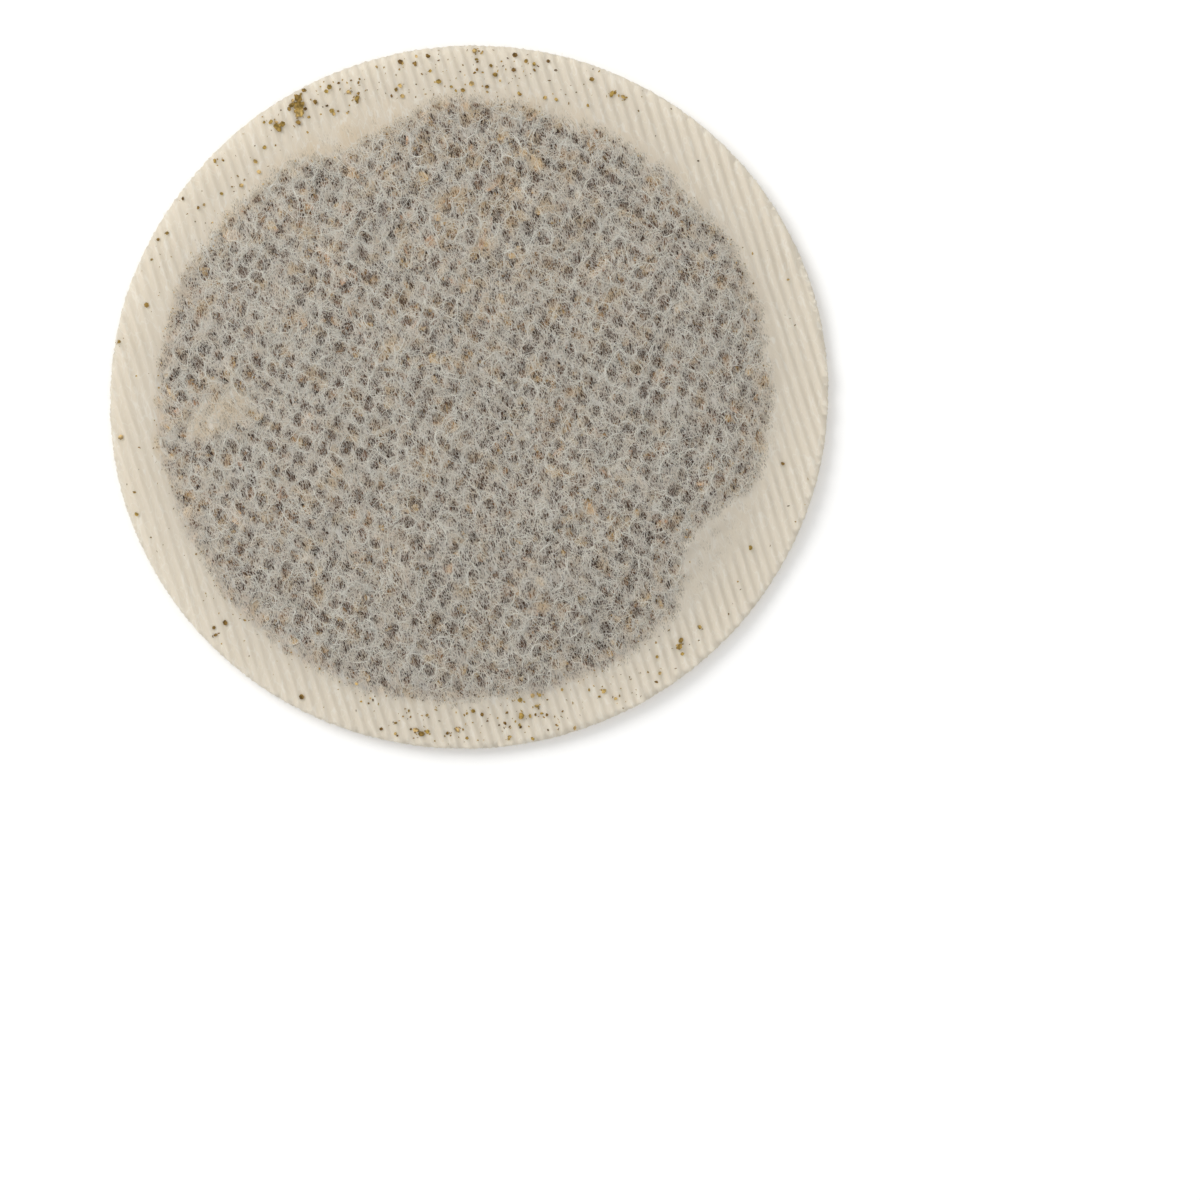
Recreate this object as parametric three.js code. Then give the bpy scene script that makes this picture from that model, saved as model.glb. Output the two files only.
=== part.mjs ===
// A round tea bag lying flat: two discs of heat-sealable filter paper, crimped together round a dose of tea.
// Millimetres, +Z up, with the origin under the middle of the bag, on the surface that it lies on.
// The pieces are drawn in the crimp's own frame, with X across the flutes and Y along them. Each mesh is
// then turned about Z by FLUTE_TURN.

import * as THREE from "three";

// Outline: an oval, because crimping draws the paper in a little along the flutes.
const HALF_ACROSS = 35.45; // from the middle to the edge, across the flutes
const HALF_ALONG = 34.55; // from the middle to the edge, along the flutes

// Crimp: straight, parallel flutes over the whole seal.
const FLUTE_TURN = THREE.MathUtils.degToRad(17.5); // from +X to the direction across the flutes
const HALF_FLUTES = 68; // half flutes between the middle and the tip of the outline
const FLUTE_DEPTH = 0.2; // from crest to valley

// Heights.
const PAPER = 0.07; // thickness of one sheet
const SHEET_GAP = 0.02; // between the two sheets where they are sealed
const TEA_GAP = 0.1; // between the loose tea and the paper around it
const RIM_LIFT = 1.1; // from the flat foot up to the lower sheet's rim
const DOME_RISE = 2.6; // from the upper sheet's rim up to its middle

// Shares of the way from the middle of the bag to its outline.
const POCKET = 0.88; // inner edge of the seal
const FOOT = 0.62; // edge of the flat foot
const TEA = 0.825; // mean edge of the tea

// Rings that carry each curved surface between its edge and its middle: a share and a number of sides.
const SHEET_RINGS = [
  [0.8, 84],
  [0.71, 72],
  [FOOT, 60],
  [0.48, 48],
  [0.32, 36],
  [0.16, 18],
];
const TEA_RINGS = [
  [TEA, 84],
  [0.76, 72],
  [0.68, 60],
  [0.58, 48],
  [0.42, 36],
  [0.22, 18],
];
const LONGEST_ARC_STEP = THREE.MathUtils.degToRad(4); // between neighbouring points of the outline

// The tea's edge: how far it shifts to one side, wanders, and draws back in one shallow bay.
const TEA_SHIFT = 0.01;
const TEA_SHIFT_ANGLE = THREE.MathUtils.degToRad(210);
const TEA_WANDER = 0.008;
const TEA_WAVES = 7;
const TEA_BAY = 0.05;
const TEA_BAY_ANGLE = THREE.MathUtils.degToRad(100);
const TEA_BAY_WIDTH = THREE.MathUtils.degToRad(16);

const HALF_PITCH = HALF_ACROSS / HALF_FLUTES;
const FULL_TURN = 2 * Math.PI;
const KEY_SCALE = 1e5; // points nearer than 1 / KEY_SCALE are one point

function ovalPoint(share, angle) {
  return new THREE.Vector2(
    share * HALF_ACROSS * Math.cos(angle),
    share * HALF_ALONG * Math.sin(angle),
  );
}

function shareOf(point) {
  return Math.hypot(point.x / HALF_ACROSS, point.y / HALF_ALONG);
}

function angleOf(point) {
  const angle = Math.atan2(point.y / HALF_ALONG, point.x / HALF_ACROSS);
  return angle < 0 ? angle + FULL_TURN : angle;
}

// A flat net of triangles. A point that several shapes use is kept once, so they meet edge to edge.
class Net {
  points = [];
  triangles = [];
  numbers = new Map();

  number(point) {
    const key = `${Math.round(point.x * KEY_SCALE)},${Math.round(point.y * KEY_SCALE)}`;
    if (!this.numbers.has(key)) {
      this.numbers.set(key, this.points.length);
      this.points.push(point);
    }
    return this.numbers.get(key);
  }

  // Adds a triangle, turned anticlockwise.
  triangle(a, b, c) {
    const corners = [a, b, c].map((n) => this.points[n]);
    const clockwise = THREE.ShapeUtils.isClockWise(corners);
    this.triangles.push(clockwise ? [a, c, b] : [a, b, c]);
  }

  fill(outline) {
    const loop = [...new Set(outline.map((point) => this.number(point)))];
    const corners = loop.map((n) => this.points[n]);
    for (const [a, b, c] of THREE.ShapeUtils.triangulateShape(corners, [])) {
      this.triangle(loop[a], loop[b], loop[c]);
    }
  }

  // The loop of all points that lie on the oval of a share, by angle.
  loopAt(share) {
    const onOval = (n) => Math.abs(shareOf(this.points[n]) - share) < 1 / KEY_SCALE;
    const loop = this.points.map((_, n) => n).filter(onOval);
    return loop.sort((a, b) => angleOf(this.points[a]) - angleOf(this.points[b]));
  }

  // Fills the band between two loops that run round the middle, by always taking the nearer next point.
  band(outer, inner) {
    const angleAt = (loop, step) =>
      angleOf(this.points[loop[step % loop.length]]) + FULL_TURN * Math.floor(step / loop.length);
    let o = 0;
    let i = 0;
    while (o < outer.length || i < inner.length) {
      const outerNow = outer[o % outer.length];
      const innerNow = inner[i % inner.length];
      if (angleAt(outer, o + 1) <= angleAt(inner, i + 1)) {
        this.triangle(outerNow, outer[(o + 1) % outer.length], innerNow);
        o += 1;
      } else {
        this.triangle(outerNow, inner[(i + 1) % inner.length], innerNow);
        i += 1;
      }
    }
  }

  // Fills a loop down to the middle point, over rings of [share, sides] scaled by a factor of the angle.
  rings(loop, rings, scaleAt) {
    let outer = loop;
    for (const [share, sides] of rings) {
      const ring = [];
      for (let side = 0; side < sides; side += 1) {
        const angle = (FULL_TURN * side) / sides;
        ring.push(this.number(ovalPoint(share * scaleAt(angle), angle)));
      }
      if (outer) this.band(outer, ring);
      outer = ring;
    }
    const middle = this.number(new THREE.Vector2(0, 0));
    outer.forEach((n, i) => this.triangle(n, outer[(i + 1) % outer.length], middle));
  }
}

// The oval's points between two X positions right of the middle, on the side where Y has the given sign.
function ovalArc(share, fromX, toX, side) {
  const angleAt = (x) => side * Math.acos(Math.min(1, x / (share * HALF_ACROSS)));
  const start = angleAt(fromX);
  const sweep = angleAt(toX) - start;
  const steps = Math.max(1, Math.ceil(Math.abs(sweep) / LONGEST_ARC_STEP));
  return Array.from({ length: steps + 1 }, (_, i) => ovalPoint(share, start + (sweep * i) / steps));
}

// The seal between two neighbouring crest and valley lines, as one or two outlines. The strip either
// passes the pocket on both sides, runs into its tip, or lies beyond it.
function sealStrip(fromX) {
  const toX = fromX + HALF_PITCH;
  const pocketReach = POCKET * HALF_ACROSS;
  const upperEdge = ovalArc(1, fromX, toX, 1);
  const lowerEdge = ovalArc(1, fromX, toX, -1);
  if (fromX >= pocketReach) {
    return [[...upperEdge, ...lowerEdge.reverse()]];
  }
  const upperPocket = ovalArc(POCKET, fromX, toX, 1);
  const lowerPocket = ovalArc(POCKET, fromX, toX, -1);
  if (toX <= pocketReach) {
    return [
      [...upperEdge, ...upperPocket.reverse()],
      [...lowerEdge, ...lowerPocket.reverse()],
    ];
  }
  return [[...upperEdge, ...lowerEdge.reverse(), ...lowerPocket, ...upperPocket.reverse()]];
}

// The net of a whole sheet: strips of seal on both halves, then rings over the pocket.
function sheetNet() {
  const net = new Net();
  for (let strip = 0; strip < HALF_FLUTES; strip += 1) {
    for (const outline of sealStrip(strip * HALF_PITCH)) {
      net.fill(outline);
      net.fill(outline.map((point) => new THREE.Vector2(-point.x, point.y)));
    }
  }
  net.rings(net.loopAt(POCKET), SHEET_RINGS, () => 1);
  return net;
}

function teaEdgeScale(angle) {
  const shift = TEA_SHIFT * Math.cos(angle - TEA_SHIFT_ANGLE);
  const wander = TEA_WANDER * Math.sin(TEA_WAVES * angle);
  const bay = TEA_BAY * Math.exp(-(((angle - TEA_BAY_ANGLE) / TEA_BAY_WIDTH) ** 2));
  return (TEA + shift + wander - bay) / TEA;
}

function teaNet() {
  const net = new Net();
  net.rings(null, TEA_RINGS, teaEdgeScale);
  return net;
}

// The crimp's height at a point: a zigzag with a crest over the middle line. It fades out in the pocket.
function crimp(point) {
  const phase = (Math.abs(point.x) / HALF_PITCH) % 2;
  const zigzag = phase < 1 ? 1 - 2 * phase : 2 * phase - 3;
  const [fadeEnd] = SHEET_RINGS[0];
  const strength = THREE.MathUtils.clamp((shareOf(point) - fadeEnd) / (POCKET - fadeEnd), 0, 1);
  return (FLUTE_DEPTH / 2) * zigzag * strength;
}

// Height of the lower sheet's underside: a flat foot that curves up to the rim.
function lowerSheet(point) {
  const climb = THREE.MathUtils.clamp((shareOf(point) - FOOT) / (POCKET - FOOT), 0, 1);
  return RIM_LIFT * climb ** 2 + crimp(point);
}

// Height of the upper sheet's underside: a low dome that comes down on the lower sheet's rim.
function upperSheet(point) {
  const rim = RIM_LIFT + PAPER + SHEET_GAP;
  const out = Math.min(1, shareOf(point) / POCKET);
  return rim + DOME_RISE * (1 - out ** 3) + crimp(point);
}

// A closed solid over a net, from one height to another, with a wall along the net's outline.
function slab(net, outline, bottomAt, topAt) {
  const count = net.points.length;
  const faceAt = (heightAt) => net.points.flatMap((p) => [p.x, p.y, heightAt(p)]);
  const positions = [...faceAt(bottomAt), ...faceAt(topAt)];
  const index = [];
  for (const [a, b, c] of net.triangles) {
    index.push(a, c, b);
    index.push(a + count, b + count, c + count);
  }
  outline.forEach((here, i) => {
    const next = outline[(i + 1) % outline.length];
    index.push(here, next, next + count);
    index.push(here, next + count, here + count);
  });
  const geometry = new THREE.BufferGeometry();
  geometry.setAttribute("position", new THREE.Float32BufferAttribute(positions, 3));
  geometry.setIndex(index);
  geometry.computeVertexNormals();
  return geometry;
}

function pieceMesh(name, geometry, material) {
  const mesh = new THREE.Mesh(geometry, material);
  mesh.name = name;
  mesh.rotation.z = FLUTE_TURN;
  return mesh;
}

function paperMaterial() {
  return new THREE.MeshStandardMaterial({
    color: "#d7cdb9",
    roughness: 0.9,
    metalness: 0,
    flatShading: true,
  });
}

function teaMaterial() {
  return new THREE.MeshStandardMaterial({
    color: "#4b3a2b",
    roughness: 0.8,
    metalness: 0,
    flatShading: true,
  });
}

function lowerPaper(net) {
  const topAt = (point) => lowerSheet(point) + PAPER;
  const geometry = slab(net, net.loopAt(1), lowerSheet, topAt);
  return pieceMesh("lower_paper", geometry, paperMaterial());
}

function upperPaper(net) {
  const topAt = (point) => upperSheet(point) + PAPER;
  const geometry = slab(net, net.loopAt(1), upperSheet, topAt);
  return pieceMesh("upper_paper", geometry, paperMaterial());
}

function teaFill() {
  const net = teaNet();
  const [, edgeSides] = TEA_RINGS[0];
  const outline = Array.from({ length: edgeSides }, (_, n) => n);
  const bottomAt = (point) => lowerSheet(point) - crimp(point) + PAPER + TEA_GAP;
  const topAt = (point) => upperSheet(point) - crimp(point) - TEA_GAP;
  return pieceMesh("tea_fill", slab(net, outline, bottomAt, topAt), teaMaterial());
}

const paperNet = sheetNet();
const teaBag = new THREE.Group();
teaBag.add(lowerPaper(paperNet), upperPaper(paperNet), teaFill());

export default teaBag;
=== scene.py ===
import math

import bpy
import numpy as np
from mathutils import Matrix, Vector
from mathutils.geometry import delaunay_2d_cdt


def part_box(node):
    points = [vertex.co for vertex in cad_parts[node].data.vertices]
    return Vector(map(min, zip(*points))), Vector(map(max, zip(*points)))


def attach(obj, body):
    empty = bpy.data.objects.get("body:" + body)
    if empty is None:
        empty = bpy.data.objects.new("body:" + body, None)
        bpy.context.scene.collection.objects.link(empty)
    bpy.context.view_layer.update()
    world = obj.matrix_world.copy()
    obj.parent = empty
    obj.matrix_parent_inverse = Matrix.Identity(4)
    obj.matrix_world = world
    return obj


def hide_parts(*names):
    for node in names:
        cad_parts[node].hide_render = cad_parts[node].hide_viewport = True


# A round tea bag lying flat. Shapes are worked out in millimetres in the crimp's own frame, with u across
# the flutes and v along them, and turned into the row's frame in metres when a mesh is made. A "share" is
# how far out a place is: 0 in the middle and 1 on the outline.

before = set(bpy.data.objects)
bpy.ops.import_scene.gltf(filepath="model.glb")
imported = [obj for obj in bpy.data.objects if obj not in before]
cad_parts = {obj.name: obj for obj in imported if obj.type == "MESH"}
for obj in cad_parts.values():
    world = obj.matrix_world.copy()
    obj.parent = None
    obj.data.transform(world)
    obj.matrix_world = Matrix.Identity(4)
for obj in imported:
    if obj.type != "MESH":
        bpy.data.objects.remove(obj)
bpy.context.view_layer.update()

MM = 0.001
PAPER = 0.07  # thickness of one sheet
SHEET_GAP = 0.04  # between the two sheets in the seal
FLUTE_TURN = math.radians(17.5)  # from +X to the direction across the flutes
FLUTE_PITCH = 1.043
FLUTE_DEPTH = 0.2
FOOT = 0.62  # share at the edge of the flat foot
POCKET = 0.88  # share at the inner edge of the seal
SEAL_START = POCKET - 0.05  # where the felt starts to close up
CRIMP_START = POCKET - 0.03  # where the flutes start
SEAL_FULL = POCKET + 0.02  # from here out both are complete


# ---------------------------------------------------------------- sizes from the frame


def box_mm(node):
    """The low and the high corner of a CAD node's box."""
    low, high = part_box(node)
    return np.array(low) / MM, np.array(high) / MM


def outline_half_widths():
    """The oval's half widths across and along the flutes, from the box of the turned oval."""
    low, high = box_mm("upper_paper")
    half_x, half_y = (high - low)[:2] / 2
    total = half_x**2 + half_y**2
    difference = (half_x**2 - half_y**2) / math.cos(2 * FLUTE_TURN)
    return math.sqrt((total + difference) / 2), math.sqrt((total - difference) / 2)


HALF_ACROSS, HALF_ALONG = outline_half_widths()
RIM_LIFT = box_mm("lower_paper")[1][2] - FLUTE_DEPTH / 2 - PAPER
DOME_RISE = box_mm("upper_paper")[1][2] - RIM_LIFT - SHEET_GAP - 2 * PAPER


# ---------------------------------------------------------------- fields


def ripples(seed, wavelength):
    """A smooth random field of about unit strength, as a sum of plane waves near one wavelength."""
    waves, spread = 48, 0.35
    rng = np.random.default_rng(seed)
    heading = rng.uniform(0, 2 * math.pi, waves)
    number = 2 * math.pi / (wavelength * np.exp(rng.normal(0, spread, waves)))
    phase = rng.uniform(0, 2 * math.pi, waves)

    def field(u, v):
        total = np.zeros_like(u, dtype=float)
        for angle, k, shift in zip(heading, number, phase):
            total += np.cos(k * (u * math.cos(angle) + v * math.sin(angle)) + shift)
        return total * math.sqrt(2 / waves)

    return field


def share_of(u, v):
    """How far out a place is: 0 in the middle and 1 on the outline."""
    return np.hypot(u / HALF_ACROSS, v / HALF_ALONG)


def angle_of(u, v):
    """The direction of a place from the middle, as the angle in the oval's formula."""
    return np.arctan2(v / HALF_ALONG, u / HALF_ACROSS)


def on_oval(share, angle):
    """The u and v of a place from its share and its angle."""
    return HALF_ACROSS * share * np.cos(angle), HALF_ALONG * share * np.sin(angle)


def smooth_step(x, low, high):
    """0 up to low and 1 from high on, with a smooth climb between them."""
    t = np.clip((x - low) / (high - low), 0, 1)
    return t * t * (3 - 2 * t)


def soft_max(a, b, width):
    """The larger of a and b, rounded off where they differ by less than width."""
    overlap = np.maximum(width - np.abs(a - b), 0) / width
    return np.maximum(a, b) + overlap**2 * width / 4


def sealed(u, v):
    """0 in the pocket and 1 in the heat-sealed ring."""
    return smooth_step(share_of(u, v), SEAL_START, SEAL_FULL)


# ---------------------------------------------------------------- thin spots in the felt

SPOT_PITCH_ACROSS = 2.35
SPOT_PITCH_ALONG = 2.47
SPOT_REACH = 34  # the lattice runs from -SPOT_REACH to SPOT_REACH - 1 in p and in q
SHIFT_ACROSS, SHIFT_ALONG = 0.11, 0.12  # usual distance of a spot from its place in the lattice
HALF_WIDTHS = (0.46, 0.72)  # of the narrowest and the widest spot
HALF_LENGTHS = (0.62, 0.94)  # of the shortest and the longest
SLANT = 0.25  # how far a spot usually leans across for each mm along
FAINTEST = 0.30  # thinness in the middle of the faintest spot
SPOT_MIDDLE, SPOT_EDGE = 0.45, 1.10  # where a spot starts to fade and where it ends, as parts of its size
BEND, BEND_WAVE = 0.05, 1.1  # short waves that make the spots' edges uneven, and their wavelength
DRIFT, DRIFT_WAVE = 0.12, 12.0  # long waves that bend the whole lattice


class Spots:
    """The lattice of thin spots in one sheet: staggered rows, each spot with its own shift and size.

    Spot (p, q) stands at u = across * (p + q) / 2 and v = along * (p - q) / 2.
    """

    def __init__(self, seed):
        rng = np.random.default_rng(seed)
        shape = (2 * SPOT_REACH, 2 * SPOT_REACH)
        self.shift_u = rng.normal(0, SHIFT_ACROSS, shape)
        self.shift_v = rng.normal(0, SHIFT_ALONG, shape)
        self.half_u = rng.uniform(*HALF_WIDTHS, shape)
        self.half_v = rng.uniform(*HALF_LENGTHS, shape)
        self.slant = rng.normal(0, SLANT, shape)
        self.thin = FAINTEST + (1 - FAINTEST) * rng.beta(1.4, 1.8, shape)
        self.bend_u = ripples(seed + 1, BEND_WAVE)
        self.bend_v = ripples(seed + 2, BEND_WAVE)
        self.drift_u = ripples(seed + 3, DRIFT_WAVE)
        self.drift_v = ripples(seed + 4, DRIFT_WAVE)

    def middle(self, p, q):
        """Where spots (p, q) stand, and their row and column in the tables of this sheet."""
        cell = (p.astype(int) + SPOT_REACH, q.astype(int) + SPOT_REACH)
        u = SPOT_PITCH_ACROSS * (p + q) / 2
        v = SPOT_PITCH_ALONG * (p - q) / 2
        return u, v, cell

    def at(self, u, v):
        """How thin the felt is: 0 between spots, and up to 1 in a spot's middle."""
        bent_u = u + BEND * self.bend_u(u, v) + DRIFT * self.drift_u(u, v)
        bent_v = v + BEND * self.bend_v(u, v) + DRIFT * self.drift_v(u, v)
        step_u, step_v = bent_u / SPOT_PITCH_ACROSS, bent_v / SPOT_PITCH_ALONG
        near_p, near_q = np.rint(step_u + step_v), np.rint(step_u - step_v)
        best = np.zeros_like(bent_u)
        for dp in (-1, 0, 1):
            for dq in (-1, 0, 1):
                spot_u, spot_v, cell = self.middle(near_p + dp, near_q + dq)
                du = bent_u - spot_u - self.shift_u[cell]
                dv = bent_v - spot_v - self.shift_v[cell]
                out = np.hypot((du + self.slant[cell] * dv) / self.half_u[cell], dv / self.half_v[cell])
                clear = 1 - smooth_step(out, SPOT_MIDDLE, SPOT_EDGE)
                best = np.maximum(best, self.thin[cell] * clear)
        return best

    def round_edge(self, p, q, turn, out):
        """Places round spots (p, q), by direction and by distance out as a share of the spot's size."""
        spot_u, spot_v, cell = self.middle(p, q)
        dv = out * self.half_v[cell] * np.sin(turn)
        du = out * self.half_u[cell] * np.cos(turn) - self.slant[cell] * dv
        u = spot_u + self.shift_u[cell] + du
        v = spot_v + self.shift_v[cell] + dv
        return u - DRIFT * self.drift_u(u, v), v - DRIFT * self.drift_v(u, v)


UPPER_SPOTS = Spots(71)
LOWER_SPOTS = Spots(81)


# ---------------------------------------------------------------- paper surfaces

FLUTE_WOBBLE = 0.03  # how far a flute strays sideways
RIM_WAVE = 0.10  # height of the rim's long waves
PUCKER, PUCKER_WIDTH = 0.07, 0.035  # height, and width as a share
DENT = 0.03  # height of the dents in the underside
BROAD_LUMP, LEAF_LUMP, CRUMB_LUMP = 0.10, 0.05, 0.018  # heights of the lumps over the tea
SPOT_DEPTH = 0.035  # how far the upper sheet sinks at its thinnest spots

flute_wobble = ripples(11, 9.0)
flute_strength = ripples(12, 7.0)
rim_wave = ripples(13, 26.0)
pucker = ripples(14, 4.5)
broad_lumps = ripples(15, 7.0)
leaf_lumps = ripples(16, 2.4)
crumb_lumps = ripples(17, 1.1)


def crimp(u, v):
    """Height of the flutes, which fade out where the seal gives way to the pocket."""
    strength = smooth_step(share_of(u, v), CRIMP_START, SEAL_FULL)
    phase = 2 * math.pi * (u + FLUTE_WOBBLE * flute_wobble(u, v)) / FLUTE_PITCH
    near_bottom = smooth_step(-v / HALF_ALONG, 0.4, 0.9)
    uneven = 1.1 + 0.15 * flute_strength(u, v) + 0.3 * near_bottom
    return FLUTE_DEPTH / 2 * strength * np.cos(phase) * uneven


def rim_height(u, v):
    """Height of the lower sheet's underside in the seal: a slightly wavy, fluted ring."""
    return RIM_LIFT + RIM_WAVE * rim_wave(u, v) + crimp(u, v)


def puckers(u, v):
    """Small gathers round the pocket's edge."""
    near = np.exp(-(((share_of(u, v) - SEAL_START) / PUCKER_WIDTH) ** 2))
    return PUCKER * near * pucker(u, v)


def lower_under(u, v):
    """Underside of the lower sheet: flat in the foot, and curving up from there to the rim."""
    climb = np.clip((share_of(u, v) - FOOT) / (POCKET - FOOT), 0, 1.3)
    rise = (-soft_max(-climb, -1.0, 0.2)) ** 2
    elsewhere = u + 50  # so that its dents aren't under the upper sheet's lumps
    dents = DENT * np.maximum(leaf_lumps(elsewhere, v), 0) * (1 - rise)
    return rim_height(u, v) * rise + dents + puckers(u, v) * rise * 0.5


def upper_under(u, v):
    """Underside of the upper sheet: a dome over the tea, with its lumps, that sinks at the thin spots."""
    out = share_of(u, v) / POCKET
    dome = soft_max(1 - out**3, 0.0, 0.10)
    inside = smooth_step(-out, -0.97, -0.86)
    lumps = BROAD_LUMP * broad_lumps(u, v) + LEAF_LUMP * leaf_lumps(u, v) + CRUMB_LUMP * crumb_lumps(u, v)
    sunk = SPOT_DEPTH * UPPER_SPOTS.at(u, v)
    rim = rim_height(u, v) + PAPER + SHEET_GAP
    return rim + DOME_RISE * dome + inside * (lumps - sunk) + puckers(u, v)


# ---------------------------------------------------------------- mesh helpers


def to_row(points):
    """Points in the crimp's frame in millimetres, as points in the row's frame in metres."""
    u, v, z = np.asarray(points, dtype=float).T
    c, s = math.cos(FLUTE_TURN), math.sin(FLUTE_TURN)
    return np.column_stack([u * c - v * s, u * s + v * c, z]) * MM


def add_mesh(name, points, faces, materials, smooth=True, slots=None):
    """A mesh object riding on the part, from points in the crimp's frame and triangles."""
    points = to_row(points)
    faces = np.asarray(faces, dtype=np.int32)
    mesh = bpy.data.meshes.new(name)
    mesh.vertices.add(len(points))
    mesh.vertices.foreach_set("co", points.ravel())
    mesh.loops.add(faces.size)
    mesh.loops.foreach_set("vertex_index", faces.ravel())
    mesh.polygons.add(len(faces))
    mesh.polygons.foreach_set("loop_start", np.arange(0, faces.size, 3, dtype=np.int32))
    mesh.polygons.foreach_set("loop_total", np.full(len(faces), 3, dtype=np.int32))
    mesh.update(calc_edges=True)
    mesh.validate()
    mesh.polygons.foreach_set("use_smooth", np.full(len(mesh.polygons), smooth))
    piece = bpy.data.objects.new(name, mesh)
    bpy.context.scene.collection.objects.link(piece)
    for material in materials:
        mesh.materials.append(material)
    if slots is not None:
        mesh.polygons.foreach_set("material_index", np.asarray(slots, dtype=np.int32))
    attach(piece, "root")
    return piece


def set_shade(piece, attribute, values):
    """Give each of a piece's points a number that its material reads."""
    shade = piece.data.attributes.new(attribute, "FLOAT", "POINT")
    shade.data.foreach_set("value", np.asarray(values, dtype=np.float32))


def repeat_faces(faces, count, points_each):
    """Triangles of count equal shapes, whose points follow one another."""
    first = np.arange(count) * points_each
    return (faces[None] + first[:, None, None]).reshape(-1, 3)


def flat_net(points, border_count):
    """A net of triangles over flat points, inside the border that the first border_count points make."""
    border = list(range(border_count))
    net = delaunay_2d_cdt([Vector(p) for p in points], [], [border], 1, 1e-6)
    return np.array([tuple(p) for p in net[0]]), np.array(net[2])


def boundary_loop(triangles):
    """The net's border as pairs of points, in the order in which its triangles run."""
    edges = np.vstack([triangles[:, [0, 1]], triangles[:, [1, 2]], triangles[:, [2, 0]]])
    known = {tuple(edge) for edge in edges.tolist()}
    return np.array([edge for edge in known if (edge[1], edge[0]) not in known])


def closed_solid(plan, triangles, bottom, top):
    """Points and faces of a closed solid over a net: first the underside, then the top, then the walls."""
    count = len(plan)
    rim = boundary_loop(triangles)
    points = np.vstack([np.column_stack([plan, bottom]), np.column_stack([plan, top])])
    wall_a = np.column_stack([rim[:, 0], rim[:, 1], rim[:, 1] + count])
    wall_b = np.column_stack([rim[:, 0], rim[:, 1] + count, rim[:, 0] + count])
    return points, np.vstack([triangles[:, ::-1], triangles + count, wall_a, wall_b])


# ---------------------------------------------------------------- materials

PAPER_REFLECT = (0.80, 0.755, 0.665, 1)
PAPER_THROUGH = (0.91, 0.86, 0.77, 1)
STAIN_REFLECT = (0.74, 0.60, 0.42, 1)
FIBRE_REFLECT = (0.90, 0.885, 0.82, 1)
NET_FIBRES = [(0.5, 3.8), (1.6, 3.6), (2.7, 4.0)]  # the felt's three directions, and how fine it is in each
NET_STRETCH = 2.6


class Nodes:
    """Short hands for building a material's node tree."""

    def __init__(self, name):
        self.material = bpy.data.materials.new(name)
        self.material.use_nodes = True
        self.tree = self.material.node_tree
        self.tree.nodes.clear()

    def add(self, kind, inputs=None, **settings):
        node = self.tree.nodes.new(kind)
        for key, value in settings.items():
            setattr(node, key, value)
        for key, value in (inputs or {}).items():
            self.set(node, key, value)
        return node

    def set(self, node, key, value):
        socket = node.inputs[key]
        if isinstance(value, bpy.types.NodeSocket):
            self.tree.links.new(value, socket)
        else:
            socket.default_value = value

    def attribute(self, name):
        return self.add("ShaderNodeAttribute", attribute_name=name).outputs["Fac"]

    def math(self, operation, a, b=0.0, c=0.0):
        return self.add("ShaderNodeMath", {0: a, 1: b, 2: c}, operation=operation).outputs[0]

    def remap(self, value, low, high, to_low=0.0, to_high=1.0, smooth=True):
        kind = "SMOOTHSTEP" if smooth else "LINEAR"
        inputs = {0: value, 1: low, 2: high, 3: to_low, 4: to_high}
        return self.add("ShaderNodeMapRange", inputs, interpolation_type=kind).outputs[0]

    def mix_colour(self, factor, a, b):
        node = self.add("ShaderNodeMix", data_type="RGBA")
        self.set(node, 0, factor)
        self.set(node, 6, a)
        self.set(node, 7, b)
        return node.outputs[2]

    def noise(self, vector, scale, detail, roughness):
        inputs = {"Vector": vector, "Scale": scale, "Detail": detail, "Roughness": roughness}
        return self.add("ShaderNodeTexNoise", inputs, noise_dimensions="2D").outputs[0]

    def diffuse(self, colour):
        return self.add("ShaderNodeBsdfDiffuse", {"Color": colour}).outputs[0]

    def mix_shader(self, factor, a, b):
        return self.add("ShaderNodeMixShader", {0: factor, 1: a, 2: b}).outputs[0]

    def felt(self, reflect, through, share_through):
        """Felt that throws part of the light back and lets the rest through, scattered."""
        front = self.diffuse(reflect)
        back = self.add("ShaderNodeBsdfTranslucent", {"Color": through}).outputs[0]
        return self.mix_shader(share_through, front, back)

    def holed(self, shader, alpha):
        """The shader where alpha is 1, and nothing where it is 0."""
        clear = self.add("ShaderNodeBsdfTransparent", {"Color": (1, 1, 1, 1)}).outputs[0]
        return self.mix_shader(alpha, clear, shader)

    def output(self, shader):
        self.add("ShaderNodeOutputMaterial", {"Surface": shader})
        return self.material


def crimp_coordinates(n, offset):
    """Millimetres in the crimp's frame, u across the flutes and v along them, moved by an offset."""
    where = n.add("ShaderNodeTexCoord").outputs["Object"]
    turned = n.add("ShaderNodeMapping", {"Vector": where}, vector_type="POINT")
    turned.inputs["Rotation"].default_value = (0, 0, -FLUTE_TURN)
    turned.inputs["Scale"].default_value = (1 / MM, 1 / MM, 1 / MM)
    return n.add("ShaderNodeVectorMath", {0: turned.outputs[0], 1: offset}, operation="ADD").outputs[0]


def off_fibres(n, where, angle, stretch, scale, detail):
    """How far off the fibres of one direction a place is.

    The fibres are the half-way contours of a noise that is stretched along them.
    """
    turned = n.add("ShaderNodeMapping", {"Vector": where})
    turned.inputs["Rotation"].default_value = (0, 0, angle)
    turned.inputs["Scale"].default_value = (scale, scale / stretch, 1.0)
    field = n.noise(turned.outputs[0], 1.0, detail=detail, roughness=0.45)
    return n.math("ABSOLUTE", n.math("SUBTRACT", field, 0.5))


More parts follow.
